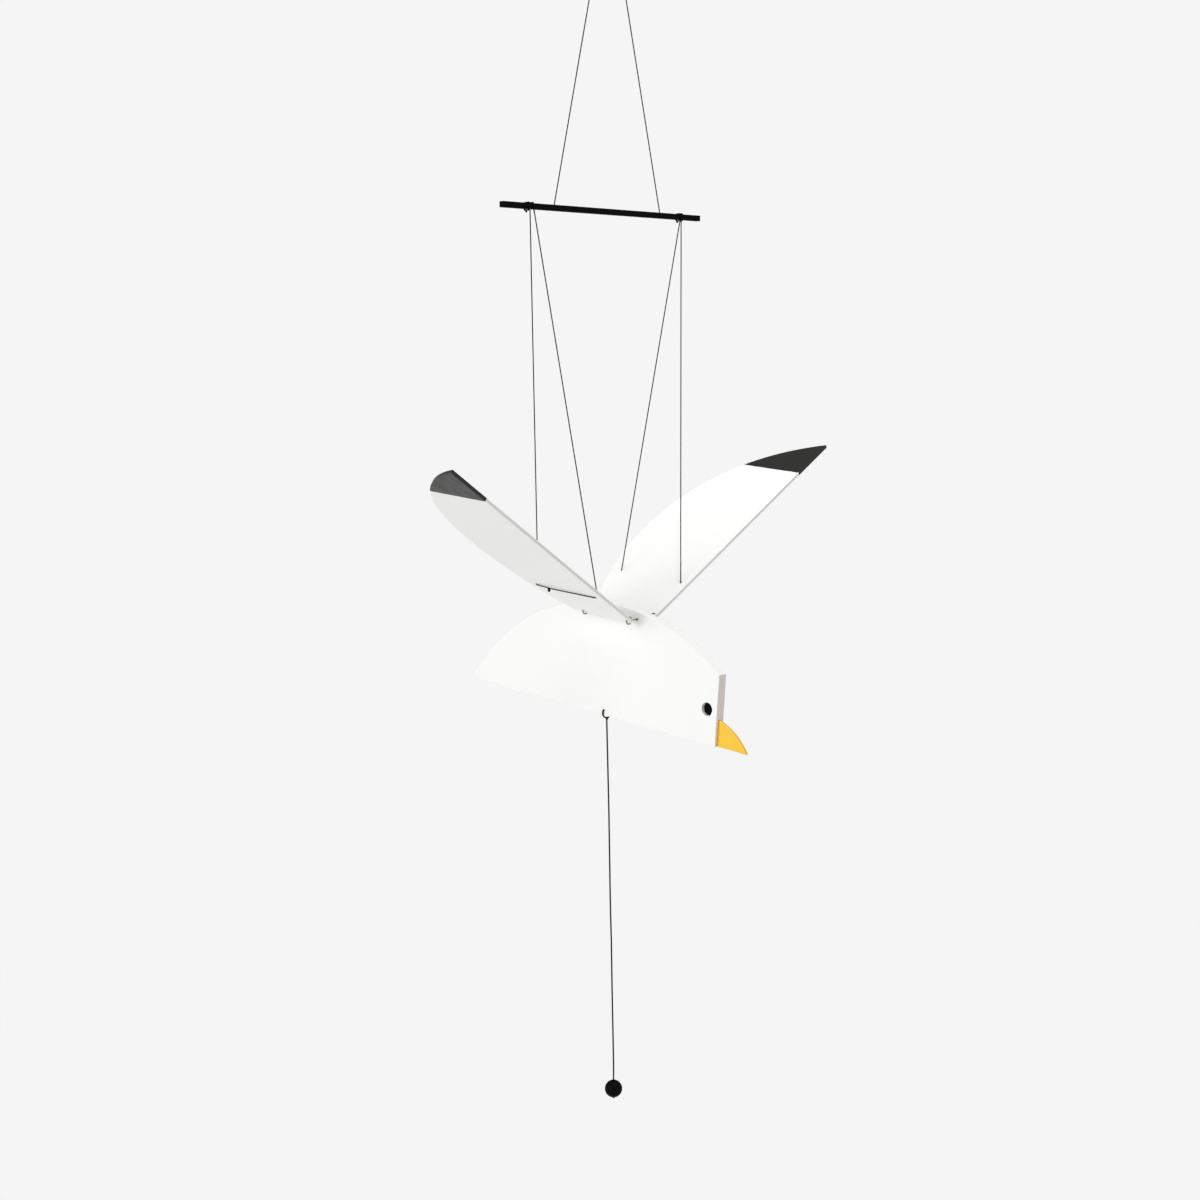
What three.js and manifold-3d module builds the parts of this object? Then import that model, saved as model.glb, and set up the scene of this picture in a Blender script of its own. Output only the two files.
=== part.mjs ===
// A gull mobile in painted wood. A crossbar hangs on a cord tied into a loop, two cords hang the
// gull by its wings, and a pull cord with a ball hangs from its belly: as the body goes down, the
// wings go up. Millimetres, +Z up, +X to the beak, +Y to the gull's left. The origin is the inside
// top of the hanging loop.

import * as THREE from 'three';
import { mergeVertices } from 'three/addons/utils/BufferGeometryUtils.js';
import Module from 'manifold-3d';

const wasm = await Module();
wasm.setup();

// Clearance between pieces that touch, and the broken edge of the wooden boards.
const gap = 0.3;
const brokenEdge = 0.35;

// Crossbar: a square stick, hung a little off its middle.
const barDrop = 281.3;
const barSide = 4.9;
const barLength = 242;
const barShift = -4;
const cordHoleDepth = 3;

// Cords: the fine one that hangs the bar and the wings, and the thicker pull cord.
const fineCord = 1.1;
const pullCord = 1.6;
const cordSides = 8;
const knotRadius = 1.7;

// Hanging cord: two legs from the bar to a knot, and a loop above it.
const hangingSpread = 130;
const loopLength = 13;
const loopHalfWidth = 3;

// Gull body: a board with a straight belly, a round back and a square-cut front, hung nose down.
// Its own frame has its origin between the wing hinges.
const birdDrop = 627.5;
const noseDown = THREE.MathUtils.degToRad(4);
const bodyThickness = 9.5;
const bodyLength = 300;
const tailX = -165;
const frontX = tailX + bodyLength;
const bellyZ = -93;
const backRadius = 213;
const backCentreX = tailX + 177;
const backCentreZ = bellyZ - 112;
const tailRounding = 4;

// Eye: a hole through the head with a black disc at mid-thickness.
const eyeX = frontX - 11;
const eyeZ = bellyZ + 30.6;
const eyeHole = 11.6;
const eyeDiscThickness = 3.4;

// Beak: a thin board let into a slot in the front of the body, its lower edge in line with the belly.
const beakThickness = 3;
const beakLength = 31.8;
const beakHeight = 22.5;
const beakBulge = 3.4;
const beakTenon = 12;

// Wings: thin boards with a straight leading edge, hinged beside the back. Spans run out from the
// hinge axis along the wing.
const wingThickness = 3;
const wingRaised = THREE.MathUtils.degToRad(33);
const hingeY = 15;
const wingRootSpan = -1.2;
const wingTipSpan = 261;
const wingTipX = tailX + 215;
const leadRootX = tailX + 207.3;
const trailEnd = new THREE.Vector2(tailX + 135.5, 4);
const rootCorner = new THREE.Vector2(tailX + 138, wingRootSpan);
const rootRearX = tailX + 144;
const trailBulgeInner = new THREE.Vector2(tailX + 103, 50);
const trailBulgeOuter = new THREE.Vector2(tailX + 72, 205);

// Wing hinges: a brass screw eye through a hole in the wing root, at a front and a rear station.
const hingeStations = { front: tailX + 204, rear: tailX + 151 };
const eyeRingRadius = 3.2;
const eyeWire = 1.2;
const shankDiameter = 1.4;
const shankDepth = 4;
const rootHoleSpan = 3;
const rootHole = 2.6;

// Wing cords: each is tied round the bar and goes down to two holes in the wing, joined under it.
const hitches = {
  right: { y: -94, spread: 4.7, rearLeg: 1, frontLeg: 5.6 },
  left: { y: 91.3, spread: 1.6, rearLeg: 0.9, frontLeg: 2.4 },
};
const wingHole = 2.2;
const wingHoleSpan = 46.5;
const wingHoleXs = { front: tailX + 200.9, rear: tailX + 128.4 };
const wingKnotX = tailX + 146;
const wingKnotSag = 2.2;
const legTopClearance = 0.6;
const legEndClearance = 1.2;

// Pull cord: looped through a hole just above the belly, down to a ball.
const pullHole = 2.3;
const pullHoleX = tailX + 169.6;
const pullHoleZ = bellyZ + 4.4;
const pullLoopDrop = 3.2;
const pullDrop = 350.5;
const ballDiameter = 16;
const ballBore = 2.3;
const ballSeatDepth = 1.6;
const smallKnotRadius = 1.4;

// How far the pull cord has strayed to the front and to the left, at each drop below the belly knot.
const pullStray = [
  [12, 0],
  [50, 0.6],
  [90, 1.25],
  [176, 2.1],
  [206, 2.75],
  [246, 3.1],
];
const ballStray = 4.15;

const sides = { right: -1, left: 1 };

// ---------------------------------------------------------------- solids

function toSolid(geometry) {
  const bare = geometry.index ? geometry.toNonIndexed() : geometry.clone();
  bare.deleteAttribute('normal');
  bare.deleteAttribute('uv');
  const merged = mergeVertices(bare, 1e-4);
  const mesh = new wasm.Mesh({
    numProp: 3,
    vertProperties: Float32Array.from(merged.attributes.position.array),
    triVerts: Uint32Array.from(merged.index.array),
  });
  return new wasm.Manifold(mesh);
}

function toGeometry(solid) {
  const mesh = solid.getMesh();
  const geometry = new THREE.BufferGeometry();
  geometry.setAttribute('position', new THREE.BufferAttribute(mesh.vertProperties, 3));
  geometry.setIndex(new THREE.BufferAttribute(mesh.triVerts, 1));
  geometry.computeVertexNormals();
  return geometry;
}

function join(...geometries) {
  return toGeometry(geometries.map(toSolid).reduce((whole, piece) => whole.add(piece)));
}

function cut(geometry, ...tools) {
  return toGeometry(tools.map(toSolid).reduce((whole, tool) => whole.subtract(tool), toSolid(geometry)));
}

function arcPoints(x, y, radius, from, to, steps) {
  return Array.from({ length: steps + 1 }, (_, i) => {
    const angle = from + ((to - from) * i) / steps;
    return new THREE.Vector2(x + radius * Math.cos(angle), y + radius * Math.sin(angle));
  });
}

// A board with its middle on the drawing plane, its outline drawn as (x, y) and its edges broken.
function board(outline, thickness, broken = brokenEdge) {
  const geometry = new THREE.ExtrudeGeometry(new THREE.Shape(outline), {
    depth: thickness - 2 * broken,
    bevelThickness: broken,
    bevelSize: broken,
    bevelOffset: -broken,
    bevelSegments: 1,
    steps: 1,
  });
  return geometry.translate(0, 0, broken - thickness / 2);
}

// The same board standing on edge, its outline drawn as (x, z).
function standingBoard(outline, thickness) {
  return board(outline, thickness).rotateX(Math.PI / 2);
}

function rod(diameter, length, segments = 16) {
  return new THREE.CylinderGeometry(diameter / 2, diameter / 2, length, segments);
}

function cordSection(diameter) {
  return new THREE.Shape(arcPoints(0, 0, diameter / 2, 0, 2 * Math.PI, cordSides).slice(0, -1));
}

function cordAlong(points, diameter, steps) {
  const path = new THREE.CatmullRomCurve3(points, false, 'catmullrom', 0.5);
  const section = cordSection(diameter);
  return new THREE.ExtrudeGeometry(section, { steps, bevelEnabled: false, extrudePath: path });
}

function straightCord(from, to, diameter, steps = 8) {
  const section = cordSection(diameter);
  const path = new THREE.LineCurve3(from, to);
  return new THREE.ExtrudeGeometry(section, { steps, bevelEnabled: false, extrudePath: path });
}

function knot(x, y, z, radius = knotRadius) {
  return new THREE.SphereGeometry(radius, 8, 6).translate(x, y, z);
}

function at(x, y, z) {
  return new THREE.Vector3(x, y, z);
}

// ---------------------------------------------------------------- materials

function paint(color, roughness = 0.55, metalness = 0) {
  return new THREE.MeshStandardMaterial({ color, roughness, metalness });
}

const whitePaint = paint('#f4f4f1');
const blackPaint = paint('#141414');
const yellowPaint = paint('#f6c545');
const blackCord = paint('#1b1b1b', 0.9);
const brass = paint('#b08d4a', 0.35, 1);

// ---------------------------------------------------------------- crossbar and its cord

function crossbar() {
  const half = barSide / 2;
  const section = [
    new THREE.Vector2(-half, -half),
    new THREE.Vector2(half, -half),
    new THREE.Vector2(half, half),
    new THREE.Vector2(-half, half),
  ];
  const stick = board(section, barLength).rotateX(Math.PI / 2).translate(0, barShift, 0);
  const holeDiameter = fineCord + 2 * gap;
  const drilled = [-1, 1].map((side) =>
    rod(holeDiameter, 2 * cordHoleDepth).rotateX(Math.PI / 2).translate(0, (side * hangingSpread) / 2, half)
  );
  return cut(stick, ...drilled);
}

// Two legs and a loop, joined in one knot. The legs end in the holes in the top of the bar.
function hangingCord() {
  const knotZ = -loopLength;
  const footZ = -barDrop + barSide / 2 - cordHoleDepth + 2 * gap;
  const legs = [-1, 1].map((side) =>
    straightCord(at(0, 0, knotZ), at(0, (side * hangingSpread) / 2, footZ + cordHoleDepth), fineCord)
  );
  const feet = [-1, 1].map((side) =>
    rod(fineCord, cordHoleDepth + 1, cordSides)
      .rotateX(Math.PI / 2)
      .translate(0, (side * hangingSpread) / 2, footZ + (cordHoleDepth + 1) / 2)
  );
  const crown = fineCord / 2;
  const loop = cordAlong(
    [
      at(0, -0.2, knotZ),
      at(0, -0.8 * loopHalfWidth, -0.58 * loopLength),
      at(0, -loopHalfWidth, -0.25 * loopLength),
      at(0, -0.62 * loopHalfWidth, crown - 1.1),
      at(0, 0, crown),
      at(0, 0.62 * loopHalfWidth, crown - 1.1),
      at(0, loopHalfWidth, -0.25 * loopLength),
      at(0, 0.8 * loopHalfWidth, -0.58 * loopLength),
      at(0, 0.2, knotZ),
    ],
    fineCord,
    28
  );
  return join(...legs, ...feet, loop, knot(0, 0, knotZ));
}

// ---------------------------------------------------------------- gull body, eye and beak

function bodyOutline() {
  const frontAngle = Math.acos((frontX - backCentreX) / backRadius);
  const tailAngle = Math.acos((tailX - backCentreX) / backRadius);
  const tailTip = new THREE.QuadraticBezierCurve(
    new THREE.Vector2(tailX, backCentreZ + backRadius * Math.sin(tailAngle)),
    new THREE.Vector2(tailX - 0.2 * tailRounding, bellyZ),
    new THREE.Vector2(tailX + tailRounding, bellyZ)
  );
  return [
    new THREE.Vector2(frontX, bellyZ),
    ...arcPoints(backCentreX, backCentreZ, backRadius, frontAngle, tailAngle, 56),
    ...tailTip.getPoints(6).slice(1),
  ];
}

function gullBody() {
  const blank = standingBoard(bodyOutline(), bodyThickness);
  const eye = rod(eyeHole, 2 * bodyThickness, 32).translate(eyeX, 0, eyeZ);
  const pull = rod(pullHole, 2 * bodyThickness, 12).translate(pullHoleX, 0, pullHoleZ);
  const slotDepth = beakTenon + gap;
  const slotTop = bellyZ + beakHeight + gap;
  const slot = new THREE.BoxGeometry(2 * slotDepth, beakThickness + 2 * gap, 2 * (beakHeight + gap));
  slot.translate(frontX, 0, slotTop - beakHeight - gap);
  const pilotDepth = shankDepth + gap;
  const pilots = Object.values(sides).flatMap((side) =>
    Object.values(hingeStations).map((x) =>
      rod(shankDiameter + 2 * gap, 2 * pilotDepth, 12).translate(x, (side * bodyThickness) / 2, 0)
    )
  );
  return cut(blank, eye, pull, slot, ...pilots);
}

function eyeDisc() {
  return rod(eyeHole - 2 * gap, eyeDiscThickness, 32).translate(eyeX, 0, eyeZ);
}

// The upper edge is an arc from the top of the root to the tip, standing beakBulge off its chord.
function gullBeak() {
  const top = new THREE.Vector2(frontX, bellyZ + beakHeight);
  const tip = new THREE.Vector2(frontX + beakLength, bellyZ);
  const chord = tip.clone().sub(top);
  const outward = new THREE.Vector2(-chord.y, chord.x).normalize();
  const crest = top.clone().add(tip).multiplyScalar(0.5).addScaledVector(outward, 2 * beakBulge);
  const upperEdge = new THREE.QuadraticBezierCurve(top, crest, tip).getPoints(14);
  const tenonX = frontX - beakTenon;
  const outline = [
    new THREE.Vector2(tenonX, bellyZ),
    ...upperEdge.reverse(),
    new THREE.Vector2(tenonX, bellyZ + beakHeight),
  ];
  return standingBoard(outline, beakThickness);
}

// ---------------------------------------------------------------- wings and hinges

function wingOutline() {
  const tip = new THREE.Vector2(wingTipX, wingTipSpan);
  const trail = new THREE.CubicBezierCurve(tip, trailBulgeOuter, trailBulgeInner, trailEnd);
  const rootRear = new THREE.Vector2(rootRearX, wingRootSpan);
  const corner = new THREE.QuadraticBezierCurve(trailEnd, rootCorner, rootRear);
  return [
    new THREE.Vector2(leadRootX, wingRootSpan),
    ...trail.getPoints(36),
    ...corner.getPoints(5).slice(1),
  ];
}

// Flat wing in its own frame: x along the hinge axis and y out along the wing, or in for the right.
function wingBoard(side) {
  const flat = board(wingOutline(), wingThickness);
  const rootHoles = Object.values(hingeStations).map((x) =>
    rod(rootHole, 2 * wingThickness, 16).rotateX(Math.PI / 2).translate(x, rootHoleSpan, 0)
  );
  const cordHoles = Object.values(wingHoleXs).map((x) =>
    rod(wingHole, 2 * wingThickness, 16).rotateX(Math.PI / 2).translate(x, wingHoleSpan, 0)
  );
  const wing = cut(flat, ...rootHoles, ...cordHoles);
  return side < 0 ? wing.rotateX(Math.PI) : wing;
}

// The part of a wing cord that lies under the wing: up through both holes, and a knot between them.
function cordUnderWing(side) {
  const under = -wingThickness / 2 - gap - fineCord / 2;
  const top = wingThickness / 2 - gap;
  const y = side * wingHoleSpan;
  const corners = [
    at(wingHoleXs.rear, y, top),
    at(wingHoleXs.rear, y, under),
    at(wingKnotX, y, under - 0.5 * wingKnotSag),
    at(wingHoleXs.front, y, under),
    at(wingHoleXs.front, y, top),
  ];
  const runs = corners.slice(1).map((corner, i) => straightCord(corners[i], corner, fineCord, 2));
  const elbows = [corners[1], corners[3]].map(({ x, z }) => knot(x, y, z, fineCord / 2));
  return join(...runs, ...elbows, knot(wingKnotX, y, under - wingKnotSag));
}

function screwEye(side, station) {
  const x = hingeStations[station];
  const ring = new THREE.TorusGeometry(eyeRingRadius, eyeWire / 2, 8, 20).rotateY(Math.PI / 2);
  ring.translate(x, side * hingeY, 0);
  const inner = bodyThickness / 2 - shankDepth;
  const outer = hingeY - eyeRingRadius - 0.2 * eyeWire;
  const shank = rod(shankDiameter, outer - inner, 10).translate(x, (side * (outer + inner)) / 2, 0);
  return join(ring, shank);
}

// ---------------------------------------------------------------- wing cords between bar and wing

// A point of the gull's own frame in the frame of the whole mobile.
function hung(point) {
  return point.applyAxisAngle(new THREE.Vector3(0, 1, 0), noseDown).add(at(0, 0, -birdDrop));
}

function wingHoleMouth(side, station) {
  const span = wingHoleSpan;
  const height = wingThickness / 2;
  const y = hingeY + span * Math.cos(wingRaised) - height * Math.sin(wingRaised);
  const z = span * Math.sin(wingRaised) + height * Math.cos(wingRaised);
  return hung(at(wingHoleXs[station], side * y, z));
}

// A leg stops short of the hitch above and of the wing below, where the cord turns as the wings move.
function wingCordLeg(sideName, station) {
  const mouth = wingHoleMouth(sides[sideName], station);
  const { y, rearLeg, frontLeg } = hitches[sideName];
  const hitchFoot = barSide / 2 + gap + fineCord;
  const tie = at(0, y + (station === 'rear' ? rearLeg : frontLeg), -barDrop - hitchFoot);
  const down = mouth.clone().sub(tie).normalize();
  const from = tie.clone().addScaledVector(down, legTopClearance);
  const to = mouth.clone().addScaledVector(down, -legEndClearance);
  return straightCord(from, to, fineCord);
}

// Two turns round the bar, the crossing on top of it and a knot beneath.
function hitch(sideName) {
  const inner = barSide / 2 + gap;
  const outer = inner + fineCord;
  const square = (half, round) =>
    [0, 1, 2, 3].flatMap((quarter) => {
      const angle = (quarter * Math.PI) / 2;
      const reach = half - round;
      const x = reach * (quarter === 0 || quarter === 3 ? 1 : -1);
      const y = reach * (quarter < 2 ? 1 : -1);
      return arcPoints(x, y, round, angle, angle + Math.PI / 2, 3);
    });
  const turn = (y) => {
    const ring = new THREE.Shape(square(outer, fineCord));
    ring.holes.push(new THREE.Path(square(inner, 0.2)));
    const settings = { depth: fineCord, bevelEnabled: false, steps: 1 };
    return new THREE.ExtrudeGeometry(ring, settings).rotateX(Math.PI / 2).translate(0, y + fineCord / 2, 0);
  };
  const { y, spread } = hitches[sideName];
  const crossing = new THREE.BoxGeometry(fineCord, spread, fineCord).translate(0, y, outer - fineCord / 2);
  const end = knot(0, y - spread / 2 - 0.8 * knotRadius, -inner - knotRadius);
  return join(turn(y - spread / 2), turn(y + spread / 2), crossing, end);
}

// ---------------------------------------------------------------- pull cord and ball

const bellyKnot = hung(at(pullHoleX, 0, bellyZ - pullLoopDrop));
const ballCentre = at(bellyKnot.x + ballStray, ballStray, hung(at(pullHoleX, 0, bellyZ)).z - pullDrop);

// A loop through the body, a knot under the belly, and the long end through the ball to its knot.
function pullCordSolid() {
  const face = bodyThickness / 2 + gap + pullCord / 2;
  const joinZ = bellyZ - pullLoopDrop;
  const place = (y, z) => hung(at(pullHoleX, y, z));
  const loop = cordAlong(
    [
      place(-0.2, joinZ),
      place(-0.6 * face, joinZ + 1),
      place(-face, bellyZ + 0.4),
      place(-face, pullHoleZ - 1.1),
      place(-face + 1.1, pullHoleZ),
      place(0, pullHoleZ),
      place(face - 1.1, pullHoleZ),
      place(face, pullHoleZ - 1.1),
      place(face, bellyZ + 0.4),
      place(0.6 * face, joinZ + 1),
      place(0.2, joinZ),
    ],
    pullCord,
    30
  );
  const { x, y, z } = ballCentre;
  const knotZ = z - ballDiameter / 2 + ballSeatDepth - gap - smallKnotRadius;
  const hanging = cordAlong(
    [
      bellyKnot,
      ...pullStray.map(([drop, stray]) => at(bellyKnot.x + stray, stray, bellyKnot.z - drop)),
      at(x, y, z + 1.5 * ballDiameter),
      at(x, y, z + ballDiameter),
      at(x, y, z),
      at(x, y, knotZ + 0.4 * smallKnotRadius),
    ],
    pullCord,
    46
  );
  const upper = knot(bellyKnot.x, bellyKnot.y, bellyKnot.z, smallKnotRadius);
  return join(loop, hanging, upper, knot(x, y, knotZ, smallKnotRadius));
}

// The bore widens below into a seat for the knot.
function pullBall() {
  const ball = new THREE.SphereGeometry(ballDiameter / 2, 24, 16).rotateX(Math.PI / 2);
  const bore = rod(ballBore, 2 * ballDiameter, 12).rotateX(Math.PI / 2);
  const seat = rod(2 * (smallKnotRadius + gap), 2 * ballSeatDepth, 12).rotateX(Math.PI / 2);
  seat.translate(0, 0, -ballDiameter / 2);
  return cut(ball, bore, seat).translate(ballCentre.x, ballCentre.y, ballCentre.z);
}

// ---------------------------------------------------------------- assembly

function piece(name, geometry, material) {
  const mesh = new THREE.Mesh(geometry, material);
  mesh.name = name;
  return mesh;
}

const mobile = new THREE.Group();
const bar = piece('crossbar', crossbar(), blackPaint);
bar.position.z = -barDrop;
mobile.add(bar);
mobile.add(piece('hanging_cord', hangingCord(), blackCord));

const bird = new THREE.Group();
bird.position.z = -birdDrop;
bird.rotation.y = noseDown;
bird.add(piece('gull_body', gullBody(), whitePaint));
bird.add(piece('gull_eye', eyeDisc(), blackPaint));
bird.add(piece('gull_beak', gullBeak(), yellowPaint));
mobile.add(bird);

for (const [name, side] of Object.entries(sides)) {
  const wing = new THREE.Group();
  wing.position.y = side * hingeY;
  wing.rotation.x = side * wingRaised;
  wing.add(piece(`${name}_wing`, wingBoard(side), whitePaint));
  wing.add(piece(`${name}_wing_cord_underside`, cordUnderWing(side), blackCord));
  bird.add(wing);

  const wingHitch = piece(`${name}_wing_cord_hitch`, hitch(name), blackCord);
  wingHitch.position.z = -barDrop;
  mobile.add(wingHitch);

  for (const station of ['front', 'rear']) {
    bird.add(piece(`${name}_${station}_hinge`, screwEye(side, station), brass));
    mobile.add(piece(`${name}_wing_cord_${station}`, wingCordLeg(name, station), blackCord));
  }
}

mobile.add(piece('pull_cord', pullCordSolid(), blackCord));
mobile.add(piece('pull_ball', pullBall(), blackPaint));

export default mobile;
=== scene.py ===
# A gull mobile in painted wood, finished in the order in which it is put together: the view, the
# threads, the crossbar, the gull and its wings, the wing cords and the ball on the pull cord.
# The scene is in metres, and the sizes of the pieces are given in millimetres: +Z up, +X to the
# beak, +Y to the gull's left.

import math

import bpy
from mathutils import Matrix, Vector


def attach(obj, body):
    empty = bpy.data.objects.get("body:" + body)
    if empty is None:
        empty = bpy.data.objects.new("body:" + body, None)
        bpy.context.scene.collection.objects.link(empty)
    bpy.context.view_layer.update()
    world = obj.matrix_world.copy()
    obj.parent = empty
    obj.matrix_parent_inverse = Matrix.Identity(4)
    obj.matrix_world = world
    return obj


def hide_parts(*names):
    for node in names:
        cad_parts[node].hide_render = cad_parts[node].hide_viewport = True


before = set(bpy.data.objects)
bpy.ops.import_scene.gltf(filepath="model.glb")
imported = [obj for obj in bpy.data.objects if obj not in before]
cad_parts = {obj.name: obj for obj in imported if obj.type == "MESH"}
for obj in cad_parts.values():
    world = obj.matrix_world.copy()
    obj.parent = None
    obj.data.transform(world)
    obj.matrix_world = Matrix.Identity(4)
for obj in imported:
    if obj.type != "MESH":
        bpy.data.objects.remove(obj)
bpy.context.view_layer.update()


# ---------------------------------------------------------------- the view
# The mobile is seen from in front of its right side, a little from above, in a plain pale studio
# with two large soft lights and a wide floor below it that fades into the backdrop. The backdrop
# and the floor are brighter to the camera than they are as light on the mobile.

bpy.ops.object.camera_add(location=(1.1032, -1.1462, -0.3939))
camera = bpy.context.object
camera.name = "camera"
turned = Matrix.Rotation(math.radians(44.18), 4, "Z") @ Matrix.Rotation(math.radians(82.0), 4, "X")
level = Matrix.Rotation(math.radians(-0.06), 4, "Z")
camera.matrix_world = Matrix.Translation(camera.location) @ turned @ level
camera.data.sensor_width = 36.0
camera.data.lens = 54.54
camera.data.clip_end = 60.0
bpy.context.scene.camera = camera
bpy.context.scene.view_settings.view_transform = "Standard"

BACKDROP = 0.914
LIGHT_BELOW, LIGHT_ABOVE = 0.70, 0.33
FLOOR_GLOW, FLOOR_GLOW_IN_VIEW = 0.70, 0.19

studio = bpy.data.worlds.new("studio")
bpy.context.scene.world = studio
studio.use_nodes = True
air = studio.node_tree
air.nodes.clear()
backdrop = air.nodes.new("ShaderNodeBackground")
backdrop.inputs["Color"].default_value = (BACKDROP, BACKDROP, BACKDROP, 1)
room = air.nodes.new("ShaderNodeBackground")
ray = air.nodes.new("ShaderNodeTexCoord")
upward = air.nodes.new("ShaderNodeSeparateXYZ")
dusk = air.nodes.new("ShaderNodeMapRange")
for limit, number in (
        ("From Min", -0.25), ("From Max", 0.25), ("To Min", LIGHT_BELOW), ("To Max", LIGHT_ABOVE)):
    dusk.inputs[limit].default_value = number
air.links.new(ray.outputs["Generated"], upward.inputs[0])
air.links.new(upward.outputs["Z"], dusk.inputs["Value"])
air.links.new(dusk.outputs["Result"], room.inputs["Strength"])
room.inputs["Color"].default_value = (1, 1, 0.99, 1)
sight = air.nodes.new("ShaderNodeLightPath")
either = air.nodes.new("ShaderNodeMixShader")
world_end = air.nodes.new("ShaderNodeOutputWorld")
air.links.new(sight.outputs["Is Camera Ray"], either.inputs[0])
air.links.new(room.outputs[0], either.inputs[1])
air.links.new(backdrop.outputs[0], either.inputs[2])
air.links.new(either.outputs[0], world_end.inputs["Surface"])

FLOOR_Z = -1.6
bpy.ops.mesh.primitive_circle_add(vertices=96, radius=5.0, fill_type="NGON", location=(0, 0, FLOOR_Z))
floor = bpy.context.object
floor.name = "floor"
pale = bpy.data.materials.new("pale_floor")
pale.use_nodes = True
tree = pale.node_tree
surface = tree.nodes["Principled BSDF"]
surface.inputs["Base Color"].default_value = (0.03, 0.03, 0.03, 1)
surface.inputs["Roughness"].default_value = 1.0
surface.inputs["Specular IOR Level"].default_value = 0.0
surface.inputs["Emission Color"].default_value = (1, 1, 1, 1)
seen = tree.nodes.new("ShaderNodeLightPath")
glow = tree.nodes.new("ShaderNodeMath")
glow.operation = "MULTIPLY_ADD"
glow.inputs[1].default_value = FLOOR_GLOW_IN_VIEW
glow.inputs[2].default_value = FLOOR_GLOW
tree.links.new(seen.outputs["Is Camera Ray"], glow.inputs[0])
tree.links.new(glow.outputs[0], surface.inputs["Emission Strength"])
clear = tree.nodes.new("ShaderNodeBsdfTransparent")
place = tree.nodes.new("ShaderNodeTexCoord")
reach = tree.nodes.new("ShaderNodeVectorMath")
reach.operation = "LENGTH"
fade = tree.nodes.new("ShaderNodeMapRange")
fade.inputs["From Min"].default_value = 0.5
fade.inputs["From Max"].default_value = 3.0
fading = tree.nodes.new("ShaderNodeMixShader")
tree.links.new(place.outputs["Object"], reach.inputs[0])
tree.links.new(reach.outputs["Value"], fade.inputs["Value"])
tree.links.new(fade.outputs["Result"], fading.inputs[0])
tree.links.new(surface.outputs[0], fading.inputs[1])
tree.links.new(clear.outputs[0], fading.inputs[2])
tree.links.new(fading.outputs[0], tree.nodes["Material Output"].inputs["Surface"])
floor.data.materials.append(pale)


def soft_light(name, place, target, size, power):
    """A square studio light at one place, aimed at another."""
    bpy.ops.object.light_add(type="AREA", location=place)
    light = bpy.context.object
    light.name = name
    light.rotation_euler = (Vector(target) - Vector(place)).to_track_quat("-Z", "Y").to_euler()
    light.data.size = size
    light.data.energy = power
    light.visible_camera = False


soft_light("front_light", (-0.5, -2.4, 0.0), (0, 0, -0.65), 1.8, 35)
soft_light("top_light", (0.9, 0.0, 1.4), (0, 0, -0.65), 1.6, 34)


# ---------------------------------------------------------------- the threads
# The mobile hangs on one black thread, tied into a loop at the top and glued into two holes in the
# crossbar, and a thicker one is looped through the gull's belly and runs down to the ball. Each is
# three strands twisted hard together, and almost matt.

# BIRD takes the frame of the gull, level with its hinges and pitched nose down, to that of the mobile.
MM = 0.001
NOSE_DOWN = math.radians(4)
BIRD = Matrix.Translation((0, 0, -0.6275)) @ Matrix.Rotation(NOSE_DOWN, 4, "Y")


def rounded(corners, turn):
    """The line through these corners, in millimetres, each corner cut off and rounded within turn."""
    corners = [Vector(c) * MM for c in corners]
    line = [corners[0]]
    for before, corner, after in zip(corners, corners[1:], corners[2:]):
        cut_in = (before - corner) * min(0.5, turn * MM / (before - corner).length)
        cut_out = (after - corner) * min(0.5, turn * MM / (after - corner).length)
        for step in range(9):
            t = step / 8
            line.append(corner + cut_in * (1 - t) ** 2 + cut_out * t**2)
    return line + [corners[-1]]


def even(line, step):
    """The same line with its points a step apart."""
    lengths = [0.0]
    for a, b in zip(line, line[1:]):
        lengths.append(lengths[-1] + (b - a).length)
    count = max(4, round(lengths[-1] / step))
    points, at = [], 0
    for i in range(count + 1):
        along = lengths[-1] * i / count
        while at < len(line) - 2 and lengths[at + 1] < along:
            at += 1
        span = max(lengths[at + 1] - lengths[at], 1e-9)
        points.append(line[at].lerp(line[at + 1], (along - lengths[at]) / span))
    return points


# A thread has SIDES points round it and TURN_STEPS rings to each turn of its strands. A turn is LAY
# diameters long, and between the strands the thread is thinner by GROOVE, a share of its radius.
STRANDS = 3
SIDES = 15
TURN_STEPS = 12
LAY = 4.2
GROOVE = 0.32


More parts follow.
